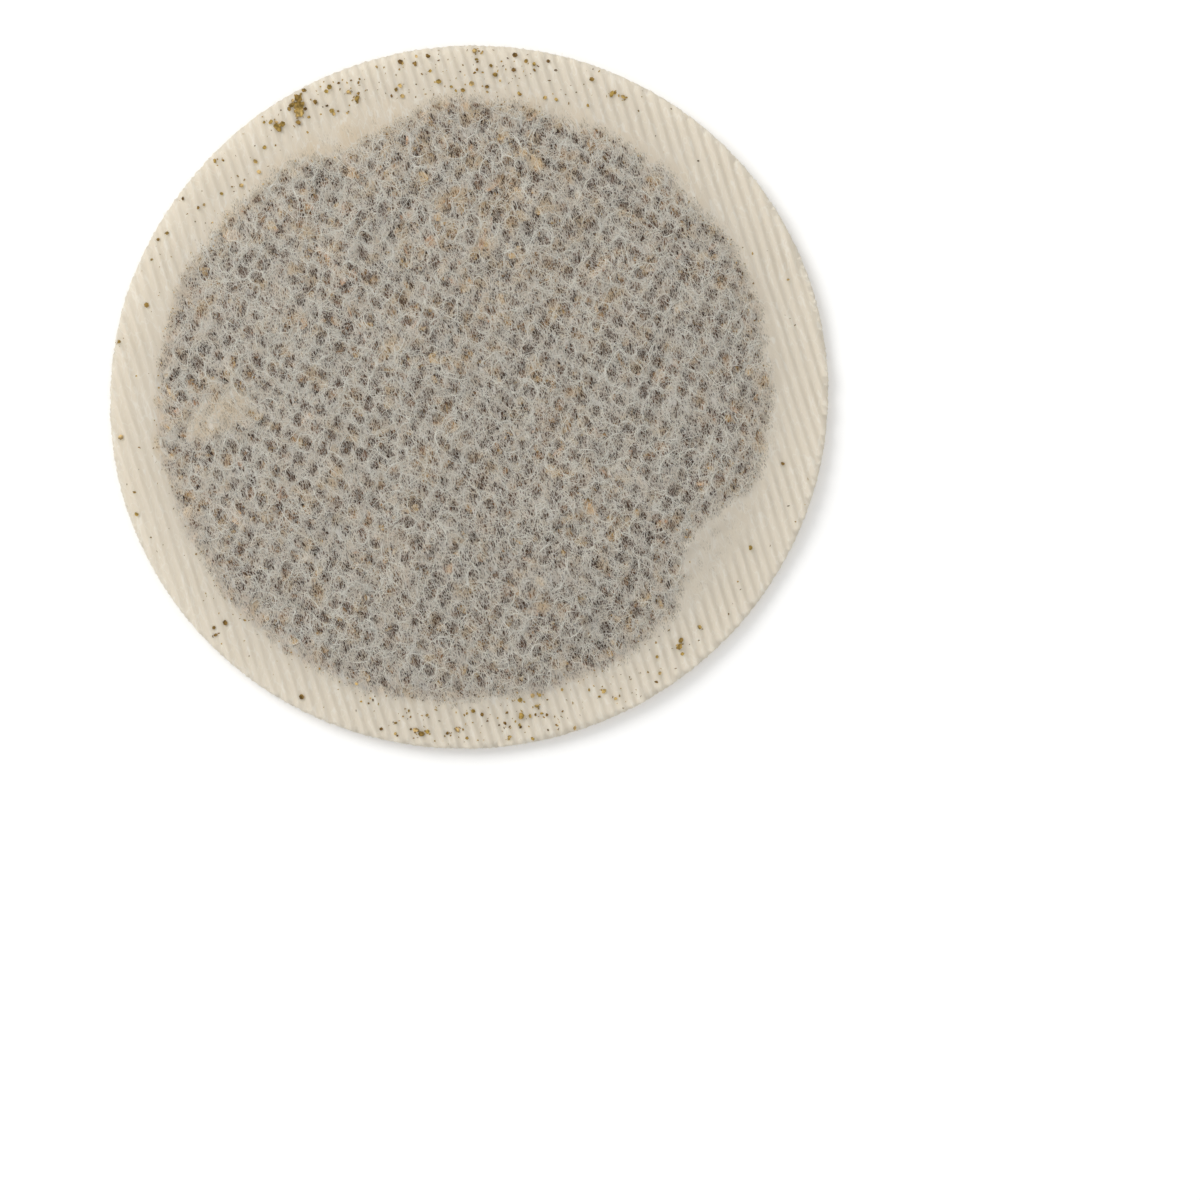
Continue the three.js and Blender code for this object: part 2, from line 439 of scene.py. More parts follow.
def fibre_lines(n, where, angle, stretch, scale):
    """Thin wandering lines, mostly along one direction."""
    line_width = 0.022
    return n.remap(off_fibres(n, where, angle, stretch, scale, 1.0), 0.0, line_width, 1.0, 0.0)


def paper_material(name, offset):
    """Heat-seal filter paper: a felt of pale fibres with fine pores, thin in a lattice of small spots.

    The points' "thin" is how thin the felt is there, from 0 in the seal to 1 in a thin spot's middle, and
    their "stain" is how much fine tea dust browns it.
    """
    n = Nodes(name)
    where = crimp_coordinates(n, offset)
    thin = n.attribute("thin")
    stain = n.attribute("stain")

    # The felt's fine fibres, with pores between them that are wider where the felt is thinner.
    off = [off_fibres(n, where, angle, NET_STRETCH, scale, 0.0) for angle, scale in NET_FIBRES]
    gap = n.math("MINIMUM", n.math("MINIMUM", off[0], off[1]), off[2])
    thick_fibre, thin_fibre, soft_edge = 0.102, 0.025, 0.008
    limit = n.math("MULTIPLY_ADD", thin, thin_fibre - thick_fibre, thick_fibre)
    pore = n.remap(gap, n.math("SUBTRACT", limit, soft_edge), n.math("ADD", limit, soft_edge))
    pore = n.math("MULTIPLY", pore, n.remap(thin, 0.0, 0.50, smooth=False))
    mottle = n.math("MULTIPLY", n.remap(gap, 0.0, 0.11, smooth=False), n.remap(thin, 0.0, 0.15, 0.0, 0.34))

    # Longer single fibres, which cross the pores.
    lines_a = fibre_lines(n, where, 0.3, 3.0, 1.3)
    lines_b = fibre_lines(n, where, 1.9, 3.2, 1.2)
    lines = n.math("MULTIPLY", n.math("MAXIMUM", lines_a, lines_b), 0.9)
    pore = n.math("MULTIPLY", pore, n.math("MULTIPLY_ADD", lines, -0.9, 1.0))

    # How much of the sheet is there, and its colour.
    felt_alpha = n.math("SUBTRACT", n.remap(thin, 0.0, 1.0, 0.95, 0.58, smooth=False), mottle)
    felt_alpha = n.math("MAXIMUM", felt_alpha, n.math("MULTIPLY", lines, 0.95))
    alpha = n.math("MULTIPLY", felt_alpha, n.math("SUBTRACT", 1.0, pore))
    reflect = n.mix_colour(lines, n.mix_colour(stain, PAPER_REFLECT, STAIN_REFLECT), FIBRE_REFLECT)
    return n.output(n.holed(n.felt(reflect, PAPER_THROUGH, 0.47), alpha))


def inner_paper_material():
    """The side of a sheet that faces the tea: nearly clear, because the outer side has the felt's look."""
    n = Nodes("inner_filter_paper")
    return n.output(n.holed(n.felt(PAPER_REFLECT, PAPER_THROUGH, 0.5), 0.06))


def fibre_material():
    """A loose pale fibre, which lets a little light through."""
    n = Nodes("loose_paper_fibre")
    return n.output(n.felt(FIBRE_REFLECT, FIBRE_REFLECT, 0.2))


# Colours of the tea by tint, from the darkest fragments to the palest.
LEAF_SHADES = [
    (0.0, (0.036, 0.018, 0.011, 1)),
    (0.35, (0.104, 0.053, 0.030, 1)),
    (0.60, (0.230, 0.134, 0.058, 1)),
    (0.80, (0.36, 0.245, 0.105, 1)),
    (0.92, (0.46, 0.325, 0.160, 1)),
    (1.0, (0.45, 0.285, 0.185, 1)),
]
CRUMB_SHADES = [
    (0.0, (0.080, 0.042, 0.018, 1)),
    (0.40, (0.190, 0.115, 0.032, 1)),
    (0.75, (0.330, 0.225, 0.062, 1)),
    (1.0, (0.50, 0.36, 0.18, 1)),
]


def leaf_material(name, shades):
    """Dried cut leaf: each fragment has its own shade, with darker and paler streaks."""
    n = Nodes(name)
    tint = n.attribute("tint")
    where = n.add("ShaderNodeTexCoord").outputs["Object"]
    mottle = n.noise(where, 2500.0, detail=1.0, roughness=0.6)
    ramp = n.add("ShaderNodeValToRGB", {0: tint})
    elements = ramp.color_ramp.elements
    ready_made = len(elements)
    for index, (position, colour) in enumerate(shades):
        element = elements[index] if index < ready_made else elements.new(position)
        element.position = position
        element.color = colour
    shade = n.remap(mottle, 0.3, 0.7, 0.6, 1.4)
    streaked = n.add("ShaderNodeVectorMath", {0: ramp.outputs[0]}, operation="SCALE")
    n.set(streaked, "Scale", shade)
    surface = {"Base Color": streaked.outputs[0], "Roughness": 0.75, "Specular IOR Level": 0.1}
    return n.output(n.add("ShaderNodeBsdfPrincipled", surface).outputs[0])


# ---------------------------------------------------------------- where the tea is

TEA_EDGE = 0.850  # mean share at the edge of the tea
TEA_SHIFT = 0.024  # how far the dose has slid to one side, as a share
TEA_SHIFT_TO = math.radians(207)
TEA_WAVES = [(5, 0.006, 1.0), (11, 0.006, 0.0), (23, 0.005, 2.0)]  # waves round the edge, height and phase
TEA_BAYS = [(97, 13, 0.065), (309, 11, 0.12)]  # direction and half width in degrees, and depth
EMPTY_PATCH = (-24.0, 5.8)  # middle of the small place with no tea
EMPTY_HALF = (4.6, 2.5)
EMPTY_TURN = math.radians(10)


def tea_reach(angle):
    """The tea's edge by direction, as a share."""
    turn = np.mod(angle, 2 * math.pi)
    shift = TEA_SHIFT * np.cos(turn - TEA_SHIFT_TO)
    wander = sum(height * np.sin(waves * turn + phase) for waves, height, phase in TEA_WAVES)
    bays = 0
    for middle, half, depth in TEA_BAYS:
        bays = bays + depth * np.exp(-(((turn - math.radians(middle)) / math.radians(half)) ** 2))
    return TEA_EDGE + shift + wander - bays


def past_tea(u, v):
    """How far out past the tea's edge a place is, as a share. It is negative inside the edge."""
    return share_of(u, v) - tea_reach(angle_of(u, v))


def out_of_empty_patch(u, v):
    """How far out from the middle of the small tea-free place, which is 1 at its edge."""
    c, s = math.cos(EMPTY_TURN), math.sin(EMPTY_TURN)
    du, dv = u - EMPTY_PATCH[0], v - EMPTY_PATCH[1]
    return np.hypot((du * c + dv * s) / EMPTY_HALF[0], (dv * c - du * s) / EMPTY_HALF[1])


def beyond_tea(u, v):
    """0 over the tea, 1 past its edge, and up to 0.65 in the small tea-free place."""
    past_edge = smooth_step(past_tea(u, v), -0.005, 0.025)
    return np.maximum(past_edge, 0.65 * (1 - smooth_step(out_of_empty_patch(u, v), 0.55, 1.2)))


def near_tea_edge(u, v):
    """0 well inside the tea, and 1 from its edge out."""
    return smooth_step(past_tea(u, v), -0.08, 0.0)


def zone(u, v, middle, size):
    """1 in the middle of a round region, and fading to 0 far from it."""
    return np.exp(-((u - middle[0]) ** 2 + (v - middle[1]) ** 2) / size**2)


def pale_zone(u, v):
    """The region towards the top where more of the fragments are pale."""
    return zone(u, v, (8, 20), 12)


def bold_zone(u, v):
    """The region towards the left where the thin spots stand out most."""
    return zone(u, v, (-22, 4), 13)


# ---------------------------------------------------------------- tea

CHIP_SIDES = 6
CHIP_SHAPES = 36
CHIP_KINDS = 6  # of every six shapes, the first is a stalk, the second a crumb, and the others plates
STALK, CRUMB = 0, 1
LEAF_GAP = 0.03  # between a chip and a sheet
LEAF_LENGTH = 1.0
LEAF_TILT = math.radians(38)
LEAST_ROOM = 0.12  # height of the pocket in which a chip still fits
LEAST_RELIEF = 0.03  # a chip that is pressed flatter than this is left out
MOST_PRESSED = 8  # as is one with more corners than this pressed down
LEAF_ROOM = 0.10  # between a sheet and the middle of a chip, and as much again for each mm of its length
TOP_CHIPS, UNDER_CHIPS = 9500, 5000  # chips tried under the upper sheet and over the lower one


def chip_shapes(rng):
    """Closed six-sided chips of about unit length: bent plates, crumbs and stalks, and their triangles."""
    ring = np.arange(CHIP_SIDES)
    top = [(0, i, i + 1) for i in range(1, CHIP_SIDES - 1)]
    bottom = [(CHIP_SIDES, CHIP_SIDES + i + 1, CHIP_SIDES + i) for i in range(1, CHIP_SIDES - 1)]
    walls = []
    for i in ring:
        j = (i + 1) % CHIP_SIDES
        walls += [(i, i + CHIP_SIDES, j), (j, i + CHIP_SIDES, j + CHIP_SIDES)]
    shapes = []
    for index in range(CHIP_SHAPES):
        angle = 2 * math.pi * (ring + rng.uniform(-0.25, 0.25, CHIP_SIDES)) / CHIP_SIDES
        reach = rng.uniform(0.36, 0.52, CHIP_SIDES)
        width = rng.uniform(0.35, 0.85)
        thick = rng.uniform(0.10, 0.24)
        if index % CHIP_KINDS == STALK:
            width, thick = rng.uniform(0.16, 0.26), rng.uniform(0.14, 0.22)
        if index % CHIP_KINDS == CRUMB:
            width, thick = rng.uniform(0.6, 0.9), rng.uniform(0.35, 0.6)
        x, y = reach * np.cos(angle), reach * np.sin(angle) * width
        bend = rng.uniform(-0.5, 0.5) * x**2 + rng.uniform(-0.3, 0.3) * y + rng.uniform(-0.4, 0.4) * x * y
        upper = np.column_stack([x, y, bend + thick / 2])
        pinch = rng.uniform(0.7, 1.0)
        lower = np.column_stack([x * pinch, y * pinch, bend - thick / 2])
        shapes.append(np.vstack([upper, lower]))
    return np.array(shapes), np.array(top + bottom + walls)


def add_chips(name, points, faces, tint, material):
    """One piece of many tea chips, each with its own points and tint."""
    count, corners = points.shape[:2]
    all_faces = repeat_faces(faces, count, corners)
    piece = add_mesh(name, points.reshape(-1, 3), all_faces, [material], smooth=False)
    set_shade(piece, "tint", np.repeat(tint, corners))


def random_turns(rng, count, most_tilt):
    """Turn matrices: any heading, and a tilt that is seldom more than most_tilt."""
    heading = rng.uniform(0, 2 * math.pi, count)
    tilt = rng.normal(0, most_tilt / 2, count)
    roll = rng.normal(0, most_tilt / 2, count)
    ch, sh = np.cos(heading), np.sin(heading)
    ct, st = np.cos(tilt), np.sin(tilt)
    cr, sr = np.cos(roll), np.sin(roll)
    zero, one = np.zeros(count), np.ones(count)
    turn_z = np.array([[ch, -sh, zero], [sh, ch, zero], [zero, zero, one]]).transpose(2, 0, 1)
    turn_y = np.array([[ct, zero, st], [zero, one, zero], [-st, zero, ct]]).transpose(2, 0, 1)
    turn_x = np.array([[one, zero, zero], [zero, cr, -sr], [zero, sr, cr]]).transpose(2, 0, 1)
    return turn_z @ turn_y @ turn_x


def scatter_in_pocket(rng, count):
    """Random places over the tea's area, a little denser near its edge, and few in the empty patch."""
    places = np.zeros((0, 2))
    while len(places) < count:
        u = rng.uniform(-HALF_ACROSS, HALF_ACROSS, count)
        v = rng.uniform(-HALF_ALONG, HALF_ALONG, count)
        past_edge = past_tea(u, v)
        inside = past_edge < rng.normal(0, 0.004, count)
        inside &= rng.uniform(0, 1, count) < 0.75 + 0.25 * smooth_step(past_edge, -0.12, -0.03)
        inside &= (out_of_empty_patch(u, v) > 0.85) | (rng.uniform(0, 1, count) < 0.12)
        places = np.vstack([places, np.column_stack([u, v])[inside]])
    return places[:count]


def between_corners(points):
    """The middles of each chip's two flat sides and of the edges round them."""
    rings = points[:, :CHIP_SIDES], points[:, CHIP_SIDES:]
    edges = [(ring + np.roll(ring, 1, axis=1)) / 2 for ring in rings]
    centres = [ring.mean(axis=1, keepdims=True) for ring in rings]
    return np.concatenate(edges + centres, axis=1)


def keep_in_pocket(points):
    """Move chips up or down until they lie between the sheets, and press in what still sticks out.

    Returns the points of the chips that the pocket has room for, and which chips those are.
    """
    u, v, z = points[..., 0], points[..., 1], points[..., 2]
    low = lower_under(u, v) + PAPER + LEAF_GAP
    high = upper_under(u, v) - LEAF_GAP
    z = z - np.maximum((z - high).max(1), 0)[:, None]
    z = z + np.maximum((low - z).max(1), 0)[:, None]
    pressed = z > high
    z = np.where(pressed, high, z)
    room = (high - low).min(1) > LEAST_ROOM
    flat = (z.max(1) - z.min(1)) < LEAST_RELIEF
    points = np.stack([u, v, z], axis=-1)
    u, v, z = between_corners(points).transpose(2, 0, 1)
    clear = (z < upper_under(u, v)).all(1) & (z > lower_under(u, v) + PAPER).all(1)
    kept = room & ~flat & (pressed.sum(1) <= MOST_PRESSED) & clear
    return points[kept], kept


def leaf_lengths(rng, places):
    """Random lengths for leaf fragments, short ones near the tea's edge."""
    length = np.clip(np.exp(rng.normal(math.log(LEAF_LENGTH), 0.38, len(places))), 0.45, 2.4)
    inside_edge = -past_tea(*places.T) * 35  # in millimetres, because the outline's radius is about 35
    return np.minimum(length, 0.7 + 0.8 * np.maximum(inside_edge, 0))


def leaf_tints(rng, seed, places, stalk):
    """Random tints: dark for most fragments, pale for a few, and paler for stalks."""
    count = len(places)
    tint = rng.beta(1.4, 2.3, count) * 0.88
    pale = rng.uniform(0, 1, count) - 0.08 * pale_zone(*places.T) < 0.045
    tint = np.clip(tint + 0.10 * ripples(seed + 7, 12.0)(*places.T), 0, 0.85)
    tint[pale] = rng.uniform(0.72, 1.0, pale.sum())
    tint[stalk] = np.clip(tint[stalk] + 0.25, 0, 1)
    return tint


def leaf_pieces(name, seed, count, height_at, material):
    """Many leaf fragments in one piece.

    height_at gives the height of their middles from u, v, a random depth from 0 to 1, and their length.
    """
    rng = np.random.default_rng(seed)
    shapes, faces = chip_shapes(rng)
    places = scatter_in_pocket(rng, count)
    length = leaf_lengths(rng, places)
    kind = rng.integers(0, len(shapes), count)
    stalk = kind % CHIP_KINDS == STALK
    tint = leaf_tints(rng, seed, places, stalk)
    length[stalk] *= 1.35
    length[tint > 0.85] *= 1.25
    turns = random_turns(rng, count, LEAF_TILT)
    local = np.einsum("nij,nkj->nki", turns, shapes[kind] * length[:, None, None])
    middle = np.column_stack([places, height_at(*places.T, rng.uniform(0, 1, count), length)])
    points, kept = keep_in_pocket(local + middle[:, None, :])
    add_chips(name, points, faces, tint[kept], material)


def top_height(u, v, depth, length):
    """Heights under the upper sheet, most of them close to it."""
    return upper_under(u, v) - LEAF_ROOM - LEAF_ROOM * length - 0.75 * depth**1.5


def under_height(u, v, depth, length):
    """Heights over the lower sheet, most of them close to it."""
    return lower_under(u, v) + PAPER + LEAF_ROOM + LEAF_ROOM * length + 0.6 * depth**1.5


def core_plan():
    """A flat net of rings inside the tea's edge, with a hole at the empty patch."""
    most_sides, least_sides = 150, 12
    rings, smallest, inset = 44, 0.06, 0.03
    plan = []
    for size in np.linspace(1.0, smallest, rings):
        sides = max(least_sides, int(most_sides * size))
        angle = 2 * math.pi * np.arange(sides) / sides
        plan += list(zip(*on_oval(size * (tea_reach(angle) - inset), angle)))
    plan, triangles = flat_net(plan, most_sides)
    triangles = triangles[out_of_empty_patch(*plan[triangles].mean(1).T) > 1.25]
    used = np.unique(triangles)
    renumber = np.zeros(len(plan), int)
    renumber[used] = np.arange(len(used))
    return plan[used], renumber[triangles]


def tea_core(material):
    """The middle of the dose, which the loose fragments hide: a lumpy closed solid."""
    gap, cover, least, lump = 0.05, 0.55, 0.04, 0.12
    lumpy_from = 0.8  # half height of the pocket from which the top is lumpy
    plan, triangles = core_plan()
    u, v = plan.T
    low = lower_under(u, v) + PAPER + gap
    high = upper_under(u, v) - gap
    middle, half = (low + high) / 2, (high - low) / 2
    thickness = np.clip(half - cover, least, None)
    lumps = lump * ripples(31, 1.6)(u, v)
    top = middle + thickness + np.where(half > lumpy_from, lumps, 0)
    points, faces = closed_solid(plan, triangles, middle - thickness, top)
    piece = add_mesh("tea_core", points, faces, [material])
    set_shade(piece, "tint", np.full(len(points), 0.2))
    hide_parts("tea_fill")


# The biggest crumbs that the seal caught: direction in degrees, distance from the outline, and length.
CRUMBS = [
    (48, 1.9, 0.75), (46, 1.7, 0.65), (72, 0.5, 0.6), (84, 1.0, 0.5), (93, 3.1, 0.8), (94, 2.2, 0.6),
    (102, 0.7, 0.9), (102.5, 1.4, 1.2), (103.5, 1.0, 0.8), (103, 2.1, 1.0), (104, 2.8, 0.7),
    (107.5, 2.1, 1.2), (119, 0.6, 0.55), (153, 0.4, 0.5), (244, 1.5, 0.8), (245, 1.2, 0.7),
    (246, 1.5, 0.6), (251, 1.8, 0.7), (262, 2.7, 0.9), (265, 3.4, 0.6), (277, 2.7, 0.7),
    (292, 2.5, 0.85), (293, 2.9, 0.6), (297, 2.6, 0.55),
]
CRUMBS_BESIDE = 4  # small ones beside each of them
SEAL_DUST, EDGE_DUST = 480, 450  # grains in the seal and at the tea's edge
DUSTY_SECTORS = [75, 262, 108, 180]  # directions in degrees round which the seal's dust lies,
DUST_SHARES = [0.32, 0.36, 0.14, 0.18]  # and how much of it each has


def crumb_places(rng):
    """Directions, shares and lengths of the crumbs and then the dust, and how many of them are crumbs."""
    big = np.array(CRUMBS)
    beside = np.repeat(big, CRUMBS_BESIDE, axis=0)
    beside[:, 0] += np.degrees(rng.normal(0, 0.42, len(beside)) * beside[:, 2] / HALF_ALONG)
    beside[:, 1] += rng.normal(0, 0.42, len(beside)) * beside[:, 2]
    beside[:, 2] *= rng.uniform(0.3, 0.6, len(beside))
    crumbs = np.vstack([big, beside])
    sector = rng.choice(DUSTY_SECTORS, SEAL_DUST, p=DUST_SHARES)
    spread = np.where(sector == 180, 90.0, 17.0)
    around = rng.uniform(0, 2 * math.pi, EDGE_DUST)
    seal_turn = np.radians(sector + rng.normal(0, 1, SEAL_DUST) * spread)
    turn = np.concatenate([np.radians(crumbs[:, 0]), seal_turn, around])
    share = np.concatenate([
        1 - crumbs[:, 1] / HALF_ALONG,
        1 - rng.uniform(0.3, 4.6, SEAL_DUST) / HALF_ALONG,
        tea_reach(around) + rng.normal(0.002, 0.012, EDGE_DUST),
    ])
    length = np.concatenate([
        crumbs[:, 2],
        np.clip(np.exp(rng.normal(math.log(0.24), 0.50, SEAL_DUST)), 0.10, 0.65),
        rng.uniform(0.08, 0.24, EDGE_DUST),
    ])
    return turn, share, length, len(crumbs)


def build_crumbs(material):
    """Crumbs and dust of tea: in the seal, most at the top and the bottom, and at the tea's edge."""
    rng = np.random.default_rng(51)
    turn, share, length, crumb_count = crumb_places(rng)
    u, v = on_oval(share, turn)

    shapes, faces = chip_shapes(rng)
    total = len(u)
    kind = rng.integers(0, len(shapes), total)
    large = length > 0.4
    kind[large] = kind[large] // CHIP_KINDS * CHIP_KINDS + CRUMB
    heading = rng.uniform(0, 2 * math.pi, total)
    local = shapes[kind] * length[:, None, None]
    c, s = np.cos(heading)[:, None], np.sin(heading)[:, None]
    points_u = u[:, None] + (local[..., 0] * c - local[..., 1] * s)
    points_v = v[:, None] + (local[..., 0] * s + local[..., 1] * c)
    flattened = 0.55 * (local[..., 2] - local[..., 2].min(1)[:, None])
    above_sheet = 0.005
    z = upper_under(points_u, points_v) + PAPER + above_sheet + flattened
    tint = rng.uniform(0.15, 0.95, total)
    tint[:crumb_count] = rng.uniform(0.45, 0.95, crumb_count)
    add_chips("seal_crumbs", np.stack([points_u, points_v, z], axis=-1), faces, tint, material)


def build_tea():
    """The dose between the sheets, and what the seal caught of it."""
    material = leaf_material("dried_leaf", LEAF_SHADES)
    leaf_pieces("tea_leaves_top", 41, TOP_CHIPS, top_height, material)
    leaf_pieces("tea_leaves_under", 42, UNDER_CHIPS, under_height, material)
    tea_core(material)
    build_crumbs(leaf_material("crushed_leaf", CRUMB_SHADES))


# ---------------------------------------------------------------- the two sheets

CUT_POINTS = 1300  # points round the cut edge
CUT_ROUGHNESS, CUT_WAVE = 0.0010, 0.5  # how uneven the cut is, as a share, and its wavelength
FLUTE_COLUMNS = 8  # columns of the net in each flute
SEAL_ROW = 0.9  # length of the net's triangles along the flutes
CUT_MARGIN = 0.12  # between the cut edge and the net inside it
POCKET_NET = POCKET - 0.037  # share at which the pocket's net ends
NET_JITTER = 0.04  # how far the pocket's points are off an even net


def sheet_plan(pocket_step, seed):
    """A flat net over the whole outline: fine columns in the seal, an even net in the pocket."""
    rng = np.random.default_rng(seed)
    angle = np.linspace(0, 2 * math.pi, CUT_POINTS, endpoint=False)
    reach = 1 + CUT_ROUGHNESS * ripples(seed, CUT_WAVE)(*on_oval(1, angle))
    edge = np.column_stack(on_oval(reach, angle))

    columns = np.arange(-HALF_ACROSS, HALF_ACROSS, FLUTE_PITCH / FLUTE_COLUMNS)
    seal = np.array([(u, v) for u in columns for v in np.arange(-HALF_ALONG, HALF_ALONG, SEAL_ROW)])
    share = share_of(*seal.T)
    seal = seal[(share > CRIMP_START) & (share < 1 - CUT_MARGIN / HALF_ALONG)]

    pocket = []
    rise = pocket_step * math.sqrt(3) / 2
    for index, v in enumerate(np.arange(-HALF_ALONG, HALF_ALONG, rise)):
        line = np.arange(-HALF_ACROSS, HALF_ACROSS, pocket_step) + (index % 2) * pocket_step / 2
        pocket += [(u, v) for u in line]
    pocket = np.array(pocket) + rng.uniform(-NET_JITTER, NET_JITTER, (len(pocket), 2))
    pocket = pocket[share_of(*pocket.T) < POCKET_NET]
    return flat_net(np.vstack([edge, seal, pocket]), CUT_POINTS)


def felt_thinness(seed, spots, u, v):
    """How thin a sheet's felt is: 0 in the seal, some between the thin spots and most in them."""
    near_edge = near_tea_edge(u, v)
    web = 0.30 + 0.07 * ripples(seed + 5, 4.0)(u, v) + 0.06 * ripples(seed + 6, 1.2)(u, v)
    web = np.maximum(web, 0.10) * (1 - 0.55 * near_edge) * (1 - 0.45 * bold_zone(u, v))
    strength = 0.66 + 0.46 * np.maximum(bold_zone(u, v), 0.45 * near_edge)
    thin = np.clip(web + strength * spots.at(u, v), 0, 1)
    return thin * ((1 - sealed(u, v)) * (1 - 0.9 * beyond_tea(u, v)))


def felt_stain(seed, u, v):
    """How much tea dust browns a sheet's felt: beside the tea, and in blotches and specks over it."""
    empty = beyond_tea(u, v)
    warm_side = 0.60 + 0.40 * np.cos(angle_of(u, v) - math.radians(110))
    in_patch = 1 - smooth_step(out_of_empty_patch(u, v), 0.4, 1.2)
    dusty = (warm_side + 1.2 * in_patch) * (0.45 + 0.16 * ripples(seed + 8, 3.0)(u, v))
    beside_tea = np.clip(dusty, 0.35 * in_patch, 1) * empty * (1 - 0.85 * sealed(u, v))
    blotches = ripples(seed + 9, 3.2)(u, v) + 1.2 * pale_zone(u, v)
    speckle = 0.10 + 0.10 * ripples(seed + 10, 1.8)(u, v)
    browned = np.maximum(smooth_step(blotches, 0.5, 2.2), 0.4 * warm_side * near_tea_edge(u, v))
    return np.maximum(beside_tea, np.maximum(speckle, browned) * (1 - empty))


def paper_sheet(name, node, step, seed, under, spots, outer_on_top, offset, inner):
    """One sheet: its textured side faces out, and its plain side faces the tea."""
    plan, triangles = sheet_plan(step, seed)
    bottom = under(*plan.T)
    points, faces = closed_solid(plan, triangles, bottom, bottom + PAPER)
    count = len(triangles)
    inside = slice(0, count) if outer_on_top else slice(count, 2 * count)
    slots = np.zeros(len(faces), int)
    slots[inside] = 1
    piece = add_mesh(name, points, faces, [paper_material(name + "_felt", offset), inner], slots=slots)
    set_shade(piece, "thin", np.tile(felt_thinness(seed, spots, *plan.T), 2))
    set_shade(piece, "stain", np.tile(felt_stain(seed, *plan.T), 2))
    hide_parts(node)


# ---------------------------------------------------------------- loose fibres

FIBRE_NODES = 7  # points along a fibre
FIBRES, FUZZ = 4300, 350  # fibres tried on the sheet, and fibres on its cut edge, in each of the two pieces
AROUND_SPOTS = 0.42  # part of the fibres that lie round a thin spot
FUZZ_RADIUS = 0.012
TUBE_CORNERS = (math.pi / 2, math.pi * 7 / 6, math.pi * 11 / 6)


def fibre_paths(rng, count):
    """Paths of loose fibres over the felt. They bend away from the thin spots and so outline them."""
    spots = UPPER_SPOTS
    place = np.zeros((0, 2))
    while len(place) < count:
        some = rng.uniform(-1, 1, (count, 2)) * (HALF_ACROSS, HALF_ALONG)
        share = share_of(*some.T)
        keep = rng.uniform(0, 1, count) < 1 - 0.9 * smooth_step(share, POCKET - 0.08, POCKET)
        beside = spots.at(*some.T)
        keep &= (beside < 0.30) & ((beside > 0.03) | (rng.uniform(0, 1, count) < 0.4))
        place = np.vstack([place, some[keep & (share < 0.97)]])
    place = place[:count]
    heading = rng.uniform(0, 2 * math.pi, count)
    way = np.column_stack([np.cos(heading), np.sin(heading)])
    step = rng.uniform(0.20, 0.48, count)[:, None]
    curl = rng.normal(0, 0.10, count)
    small = 0.08
    paths = [place]
    for _ in range(FIBRE_NODES - 1):
        u, v = place.T
        here = spots.at(u, v)
        slope = np.column_stack([spots.at(u + small, v) - here, spots.at(u, v + small) - here]) / small
        curl = 0.8 * curl + rng.normal(0, 0.08, count)
        turned = np.column_stack([way[:, 0] - curl * way[:, 1], way[:, 1] + curl * way[:, 0]])
        way = turned - 0.8 * slope
        way /= np.linalg.norm(way, axis=1)[:, None]
        place = place + step * way
        paths.append(place)
    return np.stack(paths, axis=1)


def outline_paths(rng, count):
    """Paths of fibres that lie round a thin spot, and bend away from its edge at both ends."""
    p, q = rng.integers(-SPOT_REACH, SPOT_REACH, (2, 4 * count))
    u, v = UPPER_SPOTS.round_edge(p, q, 0.0, 0.0)
    inside = share_of(u, v) < SEAL_START
    p, q = p[inside][:count, None], q[inside][:count, None]
    one_each = (len(p), 1)
    start = rng.uniform(0, 2 * math.pi, one_each)
    span = rng.uniform(1.0, 3.0, one_each) * rng.choice([-1, 1], one_each)
    along = np.linspace(0, 1, FIBRE_NODES)
    out = rng.normal(1.17, 0.11, one_each) + rng.uniform(0, 0.6, one_each) * (2 * along - 1) ** 4
    return np.stack(UPPER_SPOTS.round_edge(p, q, start + span * along, out), axis=-1)


def edge_fuzz(rng, count):
    """Paths of the short fibres that stick out of the cut edge, and where each one starts."""
    turn = rng.uniform(0, 2 * math.pi, count)
    start = np.column_stack(on_oval(1, turn)) * 0.998
    heading = turn + rng.normal(0, 0.9, count)
    bend = rng.normal(0, 0.8, count)[:, None] * np.linspace(0, 1, FIBRE_NODES)
    bent = heading[:, None] + bend
    step = rng.uniform(0.1, 0.45, count) / FIBRE_NODES
    way = np.stack([np.cos(bent), np.sin(bent)], axis=-1) * step[:, None, None]
    return start[:, None, :] + np.cumsum(way, axis=1), start


def tubes(paths, heights, radius):
    """Closed three-sided tubes along paths, thinner at both ends. Returns points and triangles."""
    count, nodes = paths.shape[:2]
    along = np.gradient(paths, axis=1)
    along /= np.linalg.norm(along, axis=2)[..., None]
    side = np.stack([-along[..., 1], along[..., 0]], axis=-1)
    taper = np.ones(nodes)
    taper[[0, -1]] = 0.5
    thick = radius[:, None] * taper
    corners = []
    for turn in TUBE_CORNERS:
        flat = paths + side * (thick * math.cos(turn))[..., None]
        corners.append(np.concatenate([flat, (heights + thick * math.sin(turn))[..., None]], axis=-1))
    points = np.stack(corners, axis=2).reshape(-1, 3)
    last = 3 * (nodes - 1)
    faces = [(0, 2, 1), (last, last + 1, last + 2)]
    for node in range(nodes - 1):
        for k in range(3):
            a, b = 3 * node + k, 3 * node + (k + 1) % 3
            faces += [(a, b, a + 3), (b, b + 3, a + 3)]
    return points, repeat_faces(np.array(faces), count, 3 * nodes)


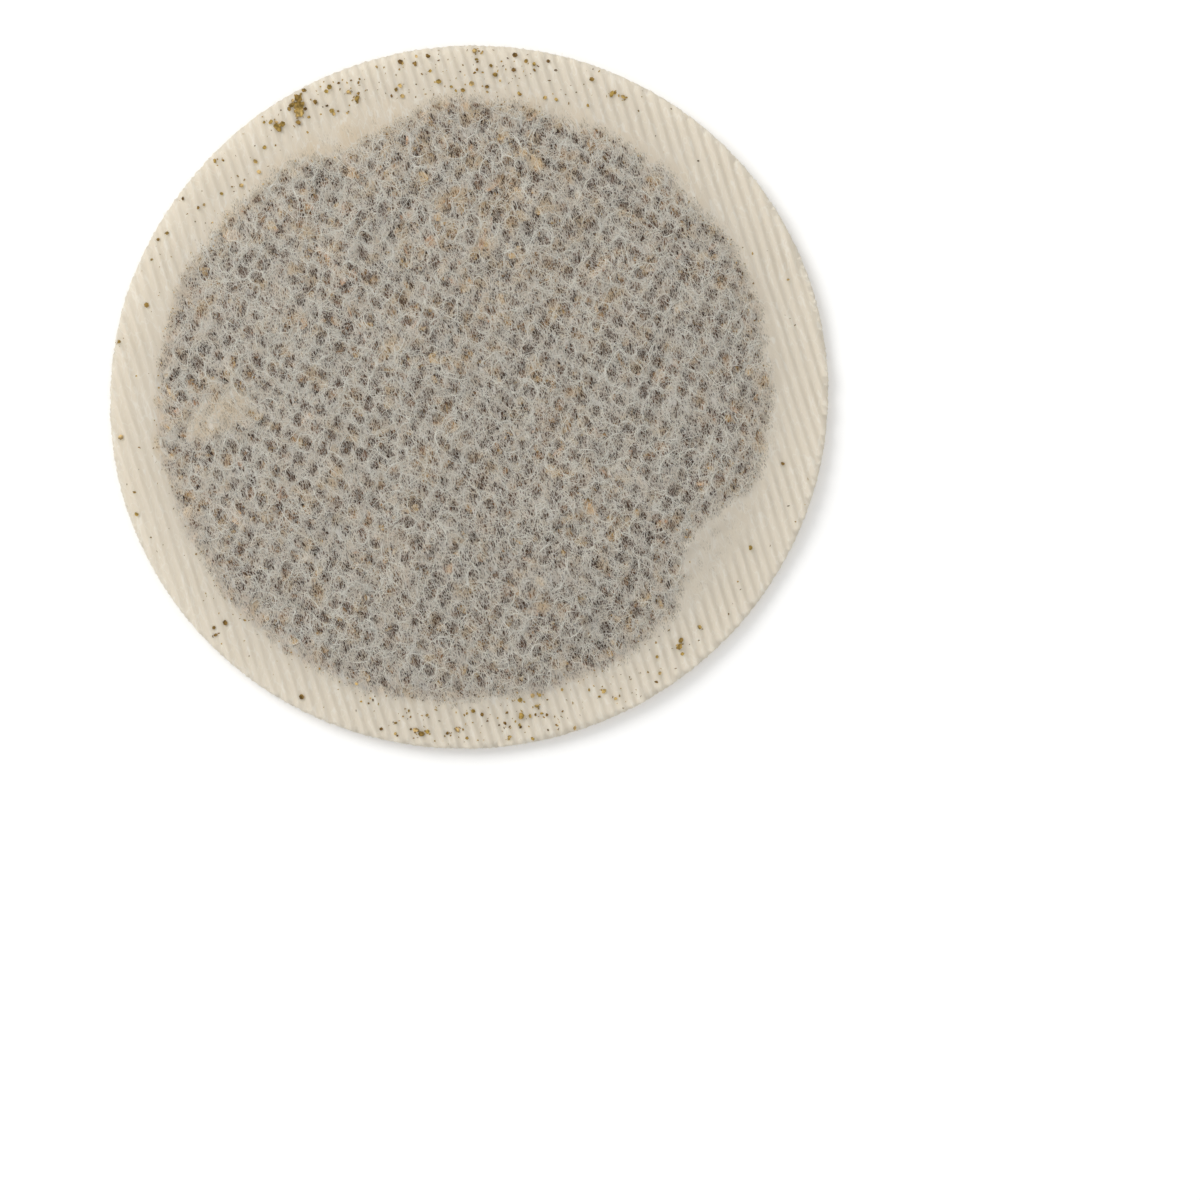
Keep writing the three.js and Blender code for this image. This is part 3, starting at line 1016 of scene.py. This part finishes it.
def build_fibres(name, seed, material):
    """Loose fibres on top of the upper sheet, and short ones that stick out of its cut edge."""
    rng = np.random.default_rng(seed)
    around = outline_paths(rng, int(AROUND_SPOTS * FIBRES))
    over = np.concatenate([around, fibre_paths(rng, FIBRES - len(around))])
    on_tea = 1 - beyond_tea(over[..., 0], over[..., 1]).max(1)
    over = over[on_tea > rng.uniform(0.0, 0.6, len(over))]
    radius = rng.uniform(0.015, 0.029, len(over))
    lift = rng.uniform(0.0, 0.05, len(over)) + 0.4 * radius
    heights = upper_under(over[..., 0], over[..., 1]) + PAPER + lift[:, None]

    edge, start = edge_fuzz(rng, FUZZ)
    edge_heights = np.repeat(upper_under(*start.T) + PAPER / 2, FIBRE_NODES).reshape(FUZZ, FIBRE_NODES)

    paths = np.concatenate([over, edge])
    heights = np.concatenate([heights, edge_heights])
    radius = np.concatenate([radius, np.full(FUZZ, FUZZ_RADIUS)])
    points, faces = tubes(paths, heights, radius)
    piece = add_mesh(name, points, faces, [material])


def build_paper():
    """Both sheets and the loose fibres on the upper one."""
    inner = inner_paper_material()
    paper_sheet(
        "upper_filter_sheet", "upper_paper", step=0.30, seed=21, under=upper_under,
        spots=UPPER_SPOTS, outer_on_top=True, offset=(0, 0, 0), inner=inner,
    )
    paper_sheet(
        "lower_filter_sheet", "lower_paper", step=0.5, seed=22, under=lower_under,
        spots=LOWER_SPOTS, outer_on_top=False, offset=(41.3, 17.7, 0), inner=inner,
    )
    loose = fibre_material()
    build_fibres("paper_fibres_a", 61, loose)
    build_fibres("paper_fibres_b", 62, loose)


# ---------------------------------------------------------------- the picture


def build_stage():
    """A white floor, a hair under the bag."""
    size, z = 1.5, -0.03 * MM
    corners = [(-size, -size, z), (size, -size, z), (size, size, z), (-size, size, z)]
    n = Nodes("studio_floor")
    mesh = bpy.data.meshes.new("floor")
    mesh.from_pydata(corners, [], [(0, 1, 2, 3)])
    mesh.materials.append(n.output(n.diffuse((0.94, 0.94, 0.935, 1))))
    floor = bpy.data.objects.new("floor", mesh)
    bpy.context.scene.collection.objects.link(floor)


def build_lights():
    """An even white sky, and a soft lamp at the upper left."""
    world = bpy.data.worlds.new("studio")
    world.use_nodes = True
    background = world.node_tree.nodes["Background"]
    background.inputs["Color"].default_value = (1.0, 1.0, 1.0, 1)
    background.inputs["Strength"].default_value = 0.85
    bpy.context.scene.world = world

    light = bpy.data.lights.new("key", "AREA")
    light.shape = "DISK"
    light.size = 0.65
    light.energy = 5.6
    light.color = (1.0, 0.99, 0.97)
    lamp = bpy.data.objects.new("key", light)
    lamp.location = (-0.60, 0.48, 0.60)
    lamp.rotation_euler = (-lamp.location).to_track_quat("-Z", "Y").to_euler()
    bpy.context.scene.collection.objects.link(lamp)


def build_camera():
    """Straight down, with the bag up and to the left of the picture's middle."""
    lens, sensor, picture_width = 100.0, 36.0, 0.1187
    middle = (0.0129, -0.0200)
    camera = bpy.data.cameras.new("camera")
    camera.lens = lens
    camera.sensor_width = sensor
    camera.clip_start = 0.01
    eye = bpy.data.objects.new("camera", camera)
    eye.location = (middle[0], middle[1], picture_width * lens / sensor)
    bpy.context.scene.collection.objects.link(eye)
    bpy.context.scene.camera = eye


bpy.context.scene.view_settings.view_transform = "Standard"
build_camera()
build_lights()
build_stage()
build_paper()
build_tea()
